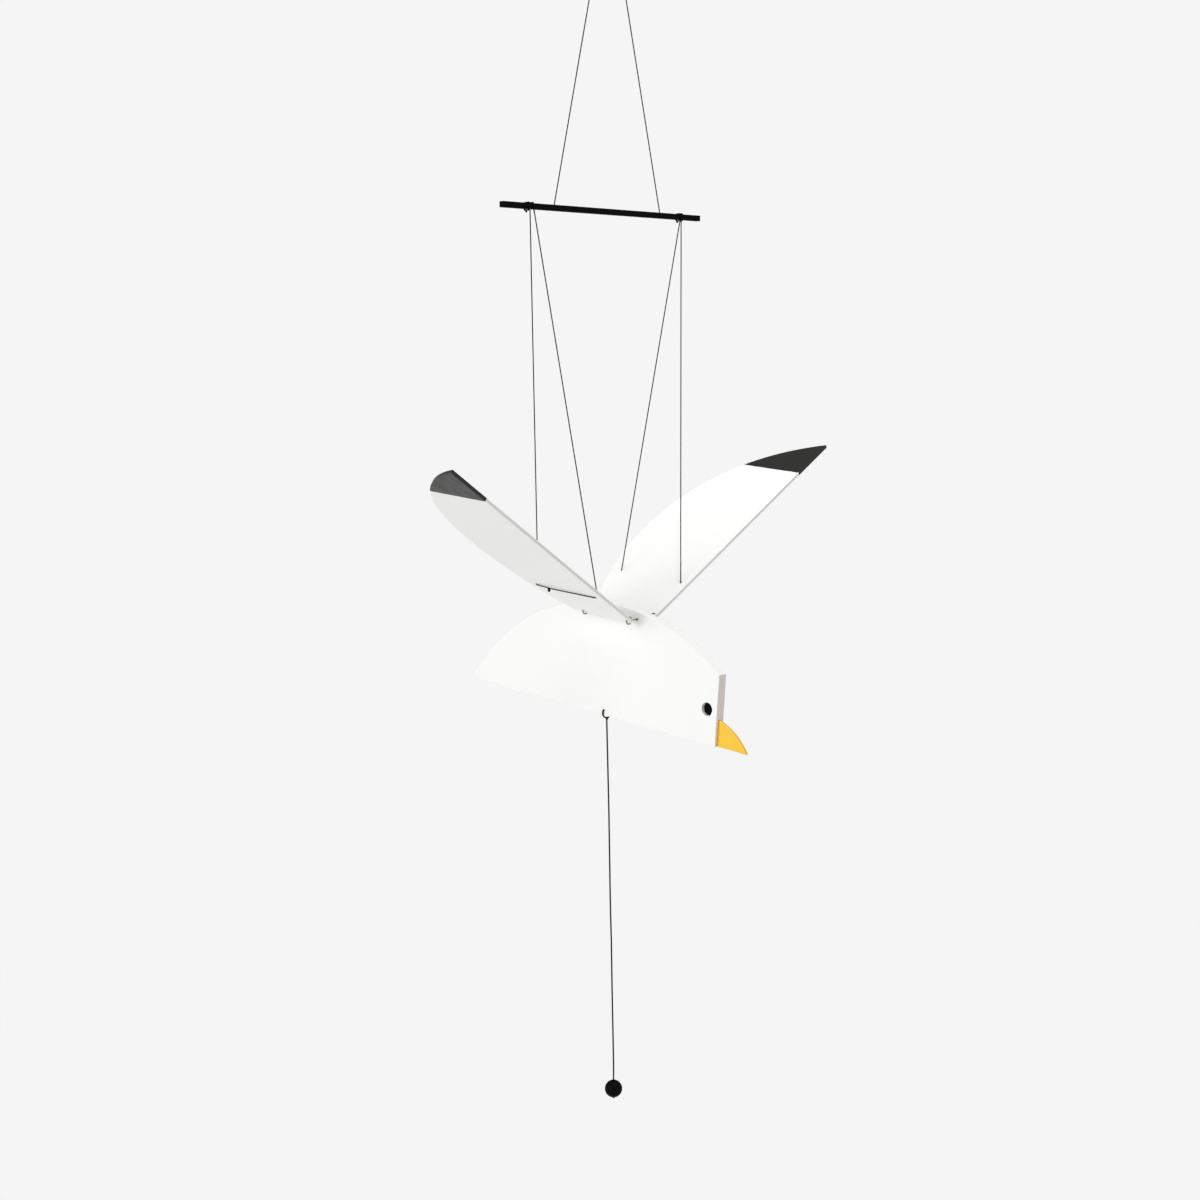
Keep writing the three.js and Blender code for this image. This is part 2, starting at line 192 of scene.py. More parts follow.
def thread(name, line, diameter, body, *nodes):
    """Three strands twisted together along a line. It stands for the CAD nodes that it is given."""
    points = even(line, diameter * LAY / TURN_STEPS)
    ahead = (points[1] - points[0]).normalized()
    across = ahead.orthogonal().normalized()
    vertices, faces = [], []
    for i, point in enumerate(points):
        onward = (points[min(i + 1, len(points) - 1)] - points[max(i - 1, 0)]).normalized()
        across = (across - onward * across.dot(onward)).normalized()
        upward = onward.cross(across)
        for side in range(SIDES):
            angle = 2 * math.pi * side / SIDES
            radius = diameter / 2 * (1 - GROOVE / 2 + GROOVE / 2 * math.cos(STRANDS * angle))
            turned_by = angle + 2 * math.pi * i / TURN_STEPS
            offset = across * math.cos(turned_by) + upward * math.sin(turned_by)
            vertices.append(point + offset * radius)
    for i in range(len(points) - 1):
        for side in range(SIDES):
            a, b = i * SIDES + side, i * SIDES + (side + 1) % SIDES
            faces.append((a, b, b + SIDES, a + SIDES))
    last = (len(points) - 1) * SIDES
    faces.append(tuple(reversed(range(SIDES))))
    faces.append(tuple(range(last, last + SIDES)))
    mesh = bpy.data.meshes.new(name)
    mesh.from_pydata(vertices, [], faces)
    mesh.polygons.foreach_set("use_smooth", [True] * len(faces))
    piece = bpy.data.objects.new(name, mesh)
    bpy.context.scene.collection.objects.link(piece)
    mesh.materials.append(black_thread)
    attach(piece, body)
    if nodes:
        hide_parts(*nodes)
    return piece, points


def knot(name, centre, diameter, body, scale=0.40):
    """An overhand knot at a place in millimetres, the tighter the smaller its scale."""
    gap, steps = 0.06, 60
    line = []
    for step in range(steps + 1):
        t = gap + step / steps * (2 * math.pi - 2 * gap)
        turn = Vector((
            math.sin(t) + 2 * math.sin(2 * t),
            -math.sin(3 * t),
            math.cos(t) - 2 * math.cos(2 * t),
        ))
        line.append(Vector(centre) * MM + turn * diameter * scale)
    return thread(name, line, diameter, body)[0]


def new_material(name):
    """A material with its node tree and its main shader."""
    material = bpy.data.materials.new(name)
    material.use_nodes = True
    return material, material.node_tree, material.node_tree.nodes["Principled BSDF"]


def noise(tree, scale, detail=2.0, vector=None):
    """A noise texture over the piece, or over the vector that it is given."""
    texture = tree.nodes.new("ShaderNodeTexNoise")
    texture.inputs["Scale"].default_value = scale
    texture.inputs["Detail"].default_value = detail
    if vector is None:
        vector = tree.nodes.new("ShaderNodeTexCoord").outputs["Object"]
    tree.links.new(vector, texture.inputs["Vector"])
    return texture.outputs["Fac"]


def spread(tree, value, low, high, start=0.3, stop=0.7):
    """A value brought from one range to another."""
    node = tree.nodes.new("ShaderNodeMapRange")
    for socket, number in zip(("From Min", "From Max", "To Min", "To Max"), (start, stop, low, high)):
        node.inputs[socket].default_value = number
    tree.links.new(value, node.inputs["Value"])
    return node.outputs["Result"]


def two_colours(tree, share, first, second):
    """A mix of two colours, each a colour or a socket."""
    node = tree.nodes.new("ShaderNodeMix")
    node.data_type = "RGBA"
    tree.links.new(share, node.inputs["Factor"])
    for socket, colour in ((6, first), (7, second)):
        if isinstance(colour, tuple):
            node.inputs[socket].default_value = (*colour, 1)
        else:
            tree.links.new(colour, node.inputs[socket])
    return node.outputs[2]


def bump(tree, height, strength, distance):
    """Relief for a shader, from a height."""
    node = tree.nodes.new("ShaderNodeBump")
    node.inputs["Strength"].default_value = strength
    node.inputs["Distance"].default_value = distance
    tree.links.new(height, node.inputs["Height"])
    return node.outputs["Normal"]


BLACK = (0.002, 0.002, 0.002)

black_thread, tree, shader = new_material("black_twisted_thread")
fibres = noise(tree, 5200, 3)
fibre_colour = two_colours(tree, fibres, BLACK, (0.006, 0.006, 0.006))
tree.links.new(fibre_colour, shader.inputs["Base Color"])
shader.inputs["Specular IOR Level"].default_value = 0.1
tree.links.new(spread(tree, fibres, 0.7, 0.9), shader.inputs["Roughness"])
tree.links.new(bump(tree, fibres, 0.5, 0.00006), shader.inputs["Normal"])

FINE_THREAD = 1.1
PULL_THREAD = 1.6
LOOP_KNOT_Z = -13.4
LEG_Y = 65.0
LEG_FOOT_Z = -281.2
hanging_route = [
    (0, -LEG_Y, LEG_FOOT_Z), (0, -LEG_Y, -278.2), (0.3, -1.0, -17.3), (0.42, -0.4, -13.5),
    (0.3, -2.4, -7.5), (0, -3.0, -3.2), (0, -1.9, -0.2), (0, 0, 0.5), (0, 1.9, -0.2),
    (0, 3.0, -3.2), (-0.3, 2.4, -7.5), (-0.42, 0.4, -13.5), (-0.3, 1.0, -17.3),
    (0, LEG_Y, -278.2), (0, LEG_Y, LEG_FOOT_Z),
]
hanging, hanging_path = thread(
    "hanging_thread", rounded(hanging_route, 1.6), FINE_THREAD * MM, "hanger", "hanging_cord")
hanging_knot = knot("hanging_knot", (0, 0, LOOP_KNOT_Z), FINE_THREAD * MM, "hanger")

# The pull cord goes through a hole near the belly, lies on both faces of the board, FACE from its
# middle, is knotted under it and hangs down to the ball.
PULL_X = 4.6
BELLY_Z = -93.0
PULL_HOLE = 2.3
PULL_HOLE_UP = 4.4
BODY_THICKNESS = 9.5
FACE = BODY_THICKNESS / 2 + 0.3 + PULL_THREAD / 2
BALL = Vector((2.03, 4.15, -1071.1))


def hung(x, y, z):
    """A point of the gull's own frame in the frame of the whole mobile, in millimetres."""
    return BIRD @ (Vector((x, y, z)) * MM) / MM


def below(drop, stray):
    """A point of the pull cord so far below the belly knot, strayed to the front and the left."""
    return hung(PULL_X, 0, BELLY_Z - 3.2) + Vector((stray, stray, -drop))


pull_route = [
    hung(PULL_X, 0.5, BELLY_Z - 3.6), hung(PULL_X, 0.6 * FACE, BELLY_Z - 2.2),
    hung(PULL_X, FACE, BELLY_Z + 0.4), hung(PULL_X, FACE, BELLY_Z + PULL_HOLE_UP),
    hung(PULL_X, 0, BELLY_Z + PULL_HOLE_UP), hung(PULL_X, -FACE, BELLY_Z + PULL_HOLE_UP),
    hung(PULL_X, -FACE, BELLY_Z + 0.4), hung(PULL_X, -0.6 * FACE, BELLY_Z - 2.2),
    hung(PULL_X, -0.4, BELLY_Z - 3.2), below(12, 0), below(50, 0.6), below(90, 1.25),
    below(176, 2.1), below(206, 2.75), below(246, 3.1),
    BALL + Vector((0, 0, 24.5)), BALL + Vector((0, 0, 16)), BALL, BALL + Vector((0, 0, -8.4)),
]
pulled, pull_path = thread(
    "pull_thread", rounded(pull_route[:9], 1.1)[:-1] + rounded(pull_route[8:], 30),
    PULL_THREAD * MM, "bird", "pull_cord")
belly_knot = knot("belly_knot", hung(PULL_X, 0, BELLY_Z - 3.6), PULL_THREAD * MM, "bird", 0.22)
ball_knot = knot("ball_knot", BALL + Vector((0, 0, -7.9)), PULL_THREAD * MM, "bird", 0.17)


# ---------------------------------------------------------------- the crossbar
# A square pine stick, sawn to length with square ends and painted matt black. Two blind holes in
# its top take the ends of the hanging thread.

BAR_SIDE = 4.9
BAR_LENGTH = 242.0
BAR_SHIFT = -4.0
BAR_Z = -281.3
LEG_HOLE = 1.7
LEG_HOLE_DEPTH = 3.0


def alone(piece):
    """Selects one piece and nothing else."""
    bpy.ops.object.select_all(action="DESELECT")
    piece.select_set(True)
    bpy.context.view_layer.objects.active = piece


def settle(piece, pose=None):
    """Applies a piece's modifiers, puts it in its pose, and leaves its place in its mesh."""
    alone(piece)
    for modifier in list(piece.modifiers):
        bpy.ops.object.modifier_apply(modifier=modifier.name)
    if pose is not None:
        piece.matrix_world = pose @ piece.matrix_world
    bpy.ops.object.transform_apply(location=True, rotation=True, scale=True)


def drill(piece, place, diameter, depth, axis="Z", sides=48):
    """A round hole along X, Y or Z, its middle at a place, in millimetres."""
    turned = {"X": (0, math.pi / 2, 0), "Y": (math.pi / 2, 0, 0), "Z": (0, 0, 0)}[axis]
    bpy.ops.mesh.primitive_cylinder_add(
        vertices=sides, radius=diameter / 2 * MM, depth=depth * MM,
        location=[c * MM for c in place], rotation=turned)
    take_away(piece, bpy.context.object)


def take_away(piece, cutter):
    """Cuts one piece with another, which is then gone."""
    boolean = piece.modifiers.new("cut", "BOOLEAN")
    boolean.operation = "DIFFERENCE"
    boolean.object = cutter
    alone(piece)
    bpy.ops.object.modifier_apply(modifier=boolean.name)
    bpy.data.objects.remove(cutter)


def soften(piece, width, segments=3):
    """Breaks the sharp edges of a board, as sandpaper does."""
    bevel = piece.modifiers.new("broken_edges", "BEVEL")
    bevel.width = width * MM
    bevel.segments = segments
    bevel.limit_method = "ANGLE"
    bevel.angle_limit = math.radians(30)
    bevel.harden_normals = True
    alone(piece)
    bpy.ops.object.shade_smooth()


def dress(piece, material, body, slot, *nodes):
    """Paints a piece, and has it ride on its body in place of its CAD nodes."""
    piece.data.materials.clear()
    piece.data.materials.append(material)
    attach(piece, body)
    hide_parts(*nodes)


def along(tree, direction, start=0.0, vector=None):
    """How far the surface lies along a direction, in metres from a start."""
    dot = tree.nodes.new("ShaderNodeVectorMath")
    dot.operation = "DOT_PRODUCT"
    dot.inputs[1].default_value = direction
    if vector is None:
        vector = tree.nodes.new("ShaderNodeTexCoord").outputs["Object"]
    tree.links.new(vector, dot.inputs[0])
    less = tree.nodes.new("ShaderNodeMath")
    less.operation = "SUBTRACT"
    less.inputs[1].default_value = start
    tree.links.new(dot.outputs["Value"], less.inputs[0])
    return less.outputs[0]


def stretched(tree, rotation, scale, vector=None):
    """The piece's own coordinates, turned and stretched to lie along its grain."""
    mapping = tree.nodes.new("ShaderNodeMapping")
    mapping.inputs["Rotation"].default_value = rotation
    mapping.inputs["Scale"].default_value = scale
    if vector is None:
        vector = tree.nodes.new("ShaderNodeTexCoord").outputs["Object"]
    tree.links.new(vector, mapping.inputs["Vector"])
    return mapping.outputs["Vector"]


def socket(group, name, kind, direction):
    """A new socket of a node group."""
    return group.interface.new_socket(name=name, in_out=direction, socket_type=kind)


def make_brushed_paint():
    """Paint brushed on wood: streaks along the grain, a fine peel and a slow drift in tone."""
    group = bpy.data.node_groups.new("brushed_paint", "ShaderNodeTree")
    socket(group, "Grain", "NodeSocketVector", "INPUT")
    socket(group, "Paint", "NodeSocketColor", "INPUT")
    socket(group, "Thin Paint", "NodeSocketColor", "INPUT")
    socket(group, "Colour", "NodeSocketColor", "OUTPUT")
    socket(group, "Roughness", "NodeSocketFloat", "OUTPUT")
    socket(group, "Relief", "NodeSocketFloat", "OUTPUT")
    given = group.nodes.new("NodeGroupInput")
    made = group.nodes.new("NodeGroupOutput")
    streaks = noise(group, 14, 5, given.outputs["Grain"])
    pores = noise(group, 60, 3, given.outputs["Grain"])
    peel = noise(group, 1100, 2)
    drift = noise(group, 11, 2)
    thin = group.nodes.new("ShaderNodeMath")
    thin.operation = "MULTIPLY"
    group.links.new(spread(group, streaks, 0, 1, 0.42, 0.75), thin.inputs[0])
    group.links.new(spread(group, drift, 0.25, 0.8), thin.inputs[1])
    group.links.new(
        two_colours(group, thin.outputs[0], given.outputs["Paint"], given.outputs["Thin Paint"]),
        made.inputs["Colour"])
    gloss = group.nodes.new("ShaderNodeMath")
    gloss.operation = "ADD"
    group.links.new(spread(group, drift, 0.38, 0.46), gloss.inputs[0])
    group.links.new(spread(group, streaks, -0.04, 0.08), gloss.inputs[1])
    group.links.new(gloss.outputs[0], made.inputs["Roughness"])
    relief = group.nodes.new("ShaderNodeMath")
    relief.operation = "MULTIPLY_ADD"
    relief.inputs[1].default_value = 0.6
    group.links.new(peel, relief.inputs[2])
    lines = group.nodes.new("ShaderNodeMath")
    lines.operation = "ADD"
    group.links.new(streaks, lines.inputs[0])
    group.links.new(pores, lines.inputs[1])
    group.links.new(lines.outputs[0], relief.inputs[0])
    group.links.new(relief.outputs[0], made.inputs["Relief"])
    return group


brushed_paint = make_brushed_paint()


def brushed(tree, grain, paint, thin_paint):
    """Brushed paint in one material: its colour, roughness and relief."""
    node = tree.nodes.new("ShaderNodeGroup")
    node.node_tree = brushed_paint
    tree.links.new(grain, node.inputs["Grain"])
    node.inputs["Paint"].default_value = (*paint, 1)
    node.inputs["Thin Paint"].default_value = (*thin_paint, 1)
    return node.outputs["Colour"], node.outputs["Roughness"], node.outputs["Relief"]


black_stick, tree, shader = new_material("black_painted_stick")
colour, roughness, relief = brushed(
    tree, stretched(tree, (0, 0, 0), (16, 1, 16)), BLACK, (0.005, 0.005, 0.005))
tree.links.new(colour, shader.inputs["Base Color"])
shader.inputs["Specular IOR Level"].default_value = 0.05
tree.links.new(spread(tree, roughness, 0.6, 0.8, 0.34, 0.54), shader.inputs["Roughness"])
tree.links.new(bump(tree, relief, 0.35, 0.0003), shader.inputs["Normal"])

bpy.ops.mesh.primitive_cube_add(size=1, location=(0, BAR_SHIFT * MM, 0))
crossbar = bpy.context.object
crossbar.name = "crossbar_stick"
crossbar.scale = (BAR_SIDE * MM, BAR_LENGTH * MM, BAR_SIDE * MM)
settle(crossbar)
for y in (-LEG_Y, LEG_Y):
    drill(crossbar, (0, y, BAR_SIDE / 2), LEG_HOLE, 2 * LEG_HOLE_DEPTH, sides=24)
soften(crossbar, 0.3)
settle(crossbar, Matrix.Translation((0, 0, BAR_Z * MM)))
dress(crossbar, black_stick, "hanger", "black_wood", "crossbar")


# ---------------------------------------------------------------- the gull's body
# A board of birch plywood on edge, its belly straight, its back one round sweep and its front cut
# square. It is sanded and painted satin white, thinner on the front cut, where the plies show.

TAIL_X = -165.0
FRONT_X = 135.0
BACK_RADIUS = 213.0
BACK_CENTRE = (12.0, 0, -205.0)
TAIL_FOOT_ROUND = 3.6
TAIL_TOP_ROUND = 1.6
WHITE = (0.95, 0.953, 0.935)
THIN_WHITE = (0.93, 0.93, 0.905)


def cut_off(piece, place, outward):
    """Saws a piece off flat at a place, in millimetres, and closes the cut."""
    alone(piece)
    bpy.ops.object.mode_set(mode="EDIT")
    bpy.ops.mesh.select_all(action="SELECT")
    bpy.ops.mesh.bisect(
        plane_co=[c * MM for c in place], plane_no=outward, use_fill=True, clear_outer=True)
    bpy.ops.object.mode_set(mode="OBJECT")


def round_edge(piece, x, z, width, segments):
    """Rounds the edge that runs across a board at x and z, in millimetres."""
    alone(piece)
    bpy.ops.object.mode_set(mode="EDIT")
    bpy.ops.mesh.select_mode(type="EDGE")
    bpy.ops.mesh.select_all(action="DESELECT")
    bpy.ops.object.mode_set(mode="OBJECT")
    corner = Vector((x, 0, z)) * MM
    for edge in piece.data.edges:
        ends = [piece.data.vertices[v].co for v in edge.vertices]
        flat = [Vector((end.x, 0, end.z)) for end in ends]
        edge.select = all((end - corner).length < 0.4 * MM for end in flat)
    bpy.ops.object.mode_set(mode="EDIT")
    bpy.ops.mesh.bevel(offset=width * MM, segments=segments, affect="EDGES", clamp_overlap=True)
    bpy.ops.object.mode_set(mode="OBJECT")


def make_ply_edge():
    """The cut edge of a board: which of it is edge, and how its plies and glue lines tint it."""
    group = bpy.data.node_groups.new("ply_edge", "ShaderNodeTree")
    socket(group, "Depth", "NodeSocketFloat", "INPUT")
    socket(group, "Half Thickness", "NodeSocketFloat", "INPUT")
    socket(group, "Plies Per Metre", "NodeSocketFloat", "INPUT")
    socket(group, "Edge", "NodeSocketFloat", "OUTPUT")
    socket(group, "Ply", "NodeSocketFloat", "OUTPUT")
    given = group.nodes.new("NodeGroupInput")
    made = group.nodes.new("NodeGroupOutput")

    def maths(operation, first, second=None):
        node = group.nodes.new("ShaderNodeMath")
        node.operation = operation
        for place, value in enumerate((first, second)):
            if isinstance(value, float):
                node.inputs[place].default_value = value
            elif value is not None:
                group.links.new(value, node.inputs[place])
        return node.outputs[0]

    inside = maths("SUBTRACT", given.outputs["Half Thickness"], maths("ABSOLUTE", given.outputs["Depth"]))
    group.links.new(spread(group, inside, 0, 1, 0.0003, 0.0009), made.inputs["Edge"])
    wander = maths("MULTIPLY", noise(group, 45, 2), 0.0006)
    layers = maths("MULTIPLY", maths("ADD", given.outputs["Depth"], wander), given.outputs["Plies Per Metre"])
    waves = maths("SINE", maths("MULTIPLY", layers, math.pi))
    fibres = maths("MULTIPLY", noise(group, 700, 3), 0.5)
    group.links.new(maths("ADD", spread(group, waves, 0, 0.6, -0.6, 0.6), fibres), made.inputs["Ply"])
    return group


ply_edge = make_ply_edge()


def edges_of(tree, depth, thickness, plies):
    """The edge mask and the ply tint of a board, from the depth across it in metres."""
    node = tree.nodes.new("ShaderNodeGroup")
    node.node_tree = ply_edge
    tree.links.new(depth, node.inputs["Depth"])
    node.inputs["Half Thickness"].default_value = thickness / 2 * MM
    node.inputs["Plies Per Metre"].default_value = plies / (thickness * MM)
    return node.outputs["Edge"], node.outputs["Ply"]


def both(tree, first, second):
    """Two masks multiplied, so that only what is in both is left."""
    node = tree.nodes.new("ShaderNodeMath")
    node.operation = "MULTIPLY"
    tree.links.new(first, node.inputs[0])
    tree.links.new(second, node.inputs[1])
    return node.outputs[0]


white_body, tree, shader = new_material("white_painted_body")
colour, roughness, relief = brushed(
    tree, stretched(tree, (0, -NOSE_DOWN, 0), (1, 9, 9)), WHITE, THIN_WHITE)
edge, ply = edges_of(tree, along(tree, (0, 1, 0)), BODY_THICKNESS, 7)
beakward = (math.cos(NOSE_DOWN), 0, -math.sin(NOSE_DOWN))
front_start = (BIRD @ Vector((FRONT_X * MM, 0, 0))).dot(Vector(beakward))
front = spread(tree, along(tree, beakward, front_start), 0, 1, -0.0008, -0.0002)
bare = two_colours(tree, ply, (0.83, 0.775, 0.715), (0.70, 0.655, 0.60))
painted_edge = two_colours(tree, ply, (0.95, 0.95, 0.93), (0.93, 0.925, 0.90))
colour = two_colours(tree, edge, colour, painted_edge)
colour = two_colours(tree, both(tree, edge, front), colour, bare)
tree.links.new(colour, shader.inputs["Base Color"])
tree.links.new(roughness, shader.inputs["Roughness"])
tree.links.new(bump(tree, relief, 0.22, 0.0004), shader.inputs["Normal"])

bpy.ops.mesh.primitive_cylinder_add(
    vertices=720, radius=BACK_RADIUS * MM, depth=BODY_THICKNESS * MM,
    location=[c * MM for c in BACK_CENTRE], rotation=(math.pi / 2, 0, 0))
body = bpy.context.object
body.name = "gull_board"
settle(body)
cut_off(body, (0, 0, BELLY_Z), (0, 0, -1))
cut_off(body, (FRONT_X, 0, 0), (1, 0, 0))
cut_off(body, (TAIL_X, 0, 0), (-1, 0, 0))
tail_top = BACK_CENTRE[2] + math.sqrt(BACK_RADIUS**2 - (TAIL_X - BACK_CENTRE[0]) ** 2)
round_edge(body, TAIL_X, BELLY_Z, TAIL_FOOT_ROUND, 8)
round_edge(body, TAIL_X, tail_top, TAIL_TOP_ROUND, 4)

EYE = (FRONT_X - 11.0, 0, BELLY_Z + 30.6)
EYE_HOLE = 11.6
drill(body, EYE, EYE_HOLE, 20, "Y", 96)
drill(body, (PULL_X, 0, BELLY_Z + PULL_HOLE_UP), PULL_HOLE, 20, "Y", 32)
HINGE_XS = {"front": 39.0, "rear": -14.0}
SHANK_HOLE = 2.0
SHANK_HOLE_DEPTH = 4.3
for side in (-1, 1):
    for x in HINGE_XS.values():
        drill(body, (x, side * BODY_THICKNESS / 2, 0), SHANK_HOLE, 2 * SHANK_HOLE_DEPTH, "Y", 24)

BEAK_THICKNESS = 3.0
BEAK_HEIGHT = 22.5
BEAK_LENGTH = 31.8
BEAK_TENON = 12.0
BEAK_SWELL = 3.4
SLOT_PLAY = 0.3
bpy.ops.mesh.primitive_cube_add(size=1, location=(FRONT_X * MM, 0, BELLY_Z * MM))
slot = bpy.context.object
slot_size = (2 * (BEAK_TENON + SLOT_PLAY), BEAK_THICKNESS + 2 * SLOT_PLAY, 2 * (BEAK_HEIGHT + SLOT_PLAY))
slot.scale = [length * MM for length in slot_size]
take_away(body, slot)
soften(body, 0.5)
settle(body, BIRD)
dress(body, white_body, "bird", "white_wood", "gull_body")


# ---------------------------------------------------------------- the eye
# A black wooden plug pushed half-way into a hole right through the head, so that it lies a little
# deep on both sides.

black_plug, tree, shader = new_material("black_painted_plug")
colour, roughness, relief = brushed(
    tree, stretched(tree, (0, 0, 0), (3, 3, 9)), BLACK, (0.004, 0.004, 0.004))
tree.links.new(colour, shader.inputs["Base Color"])
shader.inputs["Specular IOR Level"].default_value = 0.05
tree.links.new(spread(tree, roughness, 0.6, 0.8, 0.34, 0.54), shader.inputs["Roughness"])
tree.links.new(bump(tree, relief, 0.3, 0.0003), shader.inputs["Normal"])

EYE_LENGTH = 3.4
EYE_PLAY = 0.15
bpy.ops.mesh.primitive_cylinder_add(
    vertices=96, radius=(EYE_HOLE / 2 - EYE_PLAY) * MM, depth=EYE_LENGTH * MM,
    location=[c * MM for c in EYE], rotation=(math.pi / 2, 0, 0))
eye = bpy.context.object
eye.name = "eye_plug"
settle(eye)
soften(eye, 0.35)
settle(eye, BIRD)
dress(eye, black_plug, "bird", "black_wood", "gull_eye")


# ---------------------------------------------------------------- the beak
# A thin board painted yellow, glued into a slot in the front of the body. Its lower edge runs on in
# line with the belly and its upper edge is a shallow curve down to the tip.

def outline_board(name, points, thickness):
    """A flat board from its outline, drawn as Bezier points (place, left handle, right handle)."""
    bpy.ops.object.select_all(action="DESELECT")
    bpy.ops.curve.primitive_bezier_curve_add()
    drawn = bpy.context.object
    drawn.name = name
    spline = drawn.data.splines[0]
    spline.bezier_points.add(len(points) - 2)
    spline.use_cyclic_u = True
    drawn.data.resolution_u = 48
    for point, (place, left, right) in zip(spline.bezier_points, points):
        point.handle_left_type = point.handle_right_type = "FREE"
        point.co, point.handle_left, point.handle_right = (
            Vector((x, y, 0)) * MM for x, y in (place, left or place, right or place))
    bpy.ops.object.convert(target="MESH")
    bpy.ops.object.mode_set(mode="EDIT")
    bpy.ops.mesh.select_all(action="SELECT")
    bpy.ops.mesh.remove_doubles(threshold=0.00001)
    bpy.ops.mesh.dissolve_limited(angle_limit=math.radians(0.01))
    bpy.ops.mesh.select_all(action="SELECT")
    bpy.ops.mesh.edge_face_add()
    bpy.ops.mesh.extrude_region_move(TRANSFORM_OT_translate={"value": (0, 0, thickness * MM)})
    bpy.ops.mesh.select_all(action="SELECT")
    bpy.ops.mesh.normals_make_consistent(inside=False)
    bpy.ops.object.mode_set(mode="OBJECT")
    board = bpy.context.object
    board.location.z = -thickness / 2 * MM
    settle(board)
    return board


def thirds(end, control):
    """The cubic handle next to an end of a curve with one control point."""
    return tuple(a + (b - a) * 2 / 3 for a, b in zip(end, control))


yellow_beak, tree, shader = new_material("yellow_painted_beak")
colour, roughness, relief = brushed(
    tree, stretched(tree, (0, -NOSE_DOWN, 0), (2, 10, 10)), (0.96, 0.585, 0.034), (0.93, 0.54, 0.028))
edge, ply = edges_of(tree, along(tree, (0, 1, 0)), BEAK_THICKNESS, 3)
beak_edge = two_colours(tree, ply, (0.88, 0.50, 0.08), (0.78, 0.42, 0.06))
tree.links.new(two_colours(tree, edge, colour, beak_edge), shader.inputs["Base Color"])
tree.links.new(roughness, shader.inputs["Roughness"])
tree.links.new(bump(tree, relief, 0.22, 0.0004), shader.inputs["Normal"])

beak_top = (FRONT_X, BELLY_Z + BEAK_HEIGHT)
beak_tip = (FRONT_X + BEAK_LENGTH, BELLY_Z)
chord = Vector(beak_tip) - Vector(beak_top)
swell = Vector((-chord.y, chord.x)).normalized() * 2 * BEAK_SWELL
crest = tuple((Vector(beak_top) + Vector(beak_tip)) / 2 + swell)
tenon_top = (FRONT_X - BEAK_TENON, BELLY_Z + BEAK_HEIGHT)
tenon_foot = (FRONT_X - BEAK_TENON, BELLY_Z)
beak = outline_board("beak_board", [
    (tenon_foot, None, None), (beak_tip, None, thirds(beak_tip, crest)),
    (beak_top, thirds(beak_top, crest), None), (tenon_top, None, None),
], BEAK_THICKNESS)
beak.rotation_euler = (math.pi / 2, 0, 0)
settle(beak)
soften(beak, 0.4)
settle(beak, BIRD)
dress(beak, yellow_beak, "bird", "yellow_wood", "gull_beak")


# ---------------------------------------------------------------- the wings
# Two thin plywood boards with a straight leading edge and a long round trailing edge, painted satin
# white, their tips black. Two small holes near the root take the hinges and two further out the
# threads that carry the gull.

WING_THICKNESS = 3.0
WING_RAISED = math.radians(33)
HINGE_Y = 15.0
TIP_PAINT_SPAN = 216.0
ROOT_FRONT = (42.3, -1.2)
WING_TIP = (50.0, 261.0)
TRAIL_OUT, TRAIL_IN = (-93.0, 205.0), (-62.0, 50.0)
TRAIL_END = (-29.5, 4.0)
ROOT_CORNER = (-27.0, -1.2)
ROOT_REAR = (-21.0, -1.2)
WING_THREAD_XS = {"front": 35.9, "rear": -36.6}
WING_THREAD_SPAN = 46.5
WING_THREAD_HOLE = 2.2
RING_SPAN = 3.0
RING_HOLE = 2.6
WING_SIDES = {"right": -1, "left": 1}


def wing_pose(side):
    """Where a wing's own flat frame lies: x along the hinges, y out along the wing."""
    turned = Matrix.Rotation(side * WING_RAISED, 4, "X")
    flipped = Matrix.Rotation(math.pi, 4, "X") if side < 0 else Matrix.Identity(4)
    return BIRD @ Matrix.Translation((0, side * HINGE_Y * MM, 0)) @ turned @ flipped


def white_wing_material(name, side):
    """White paint with a black tip brushed up to a straight pencil line, and painted shade on the board's
    edges.
    """
    material, tree, shader = new_material(name)
    pose = wing_pose(side)
    hinge = pose.translation
    outward = (pose.to_3x3() @ Vector((0, 1, 0))).normalized()
    across = (pose.to_3x3() @ Vector((0, 0, 1))).normalized()
    span = along(tree, outward, hinge.dot(outward))
    depth = along(tree, across, hinge.dot(across))
    grain = stretched(tree, (-side * WING_RAISED, 0, 0), (9, 1, 9))
    colour, roughness, relief = brushed(tree, grain, WHITE, THIN_WHITE)
    tip_colour, _, _ = brushed(tree, grain, (0.006, 0.006, 0.005), (0.011, 0.011, 0.010))
    edge, ply = edges_of(tree, depth, WING_THICKNESS, 3)
    # The board's edges are painted grey, darker than the white faces. This is painted shade, like the shade
    # on the leading edges; only the faint ply lines in it are the board's own.
    shaded_edge_colour = two_colours(tree, ply, (0.76, 0.765, 0.735), (0.72, 0.715, 0.68))
    colour = two_colours(tree, edge, colour, shaded_edge_colour)
    wobble = tree.nodes.new("ShaderNodeMath")
    wobble.operation = "MULTIPLY_ADD"
    wobble.inputs[1].default_value = 0.0008
    tree.links.new(noise(tree, 130, 2), wobble.inputs[0])
    tree.links.new(span, wobble.inputs[2])
    painted = spread(
        tree, wobble.outputs[0], 0, 1, (TIP_PAINT_SPAN + 0.3) * MM, (TIP_PAINT_SPAN + 0.6) * MM)
    tree.links.new(two_colours(tree, painted, colour, tip_colour), shader.inputs["Base Color"])
    tree.links.new(roughness, shader.inputs["Roughness"])
    tree.links.new(bump(tree, relief, 0.22, 0.0004), shader.inputs["Normal"])
    return material


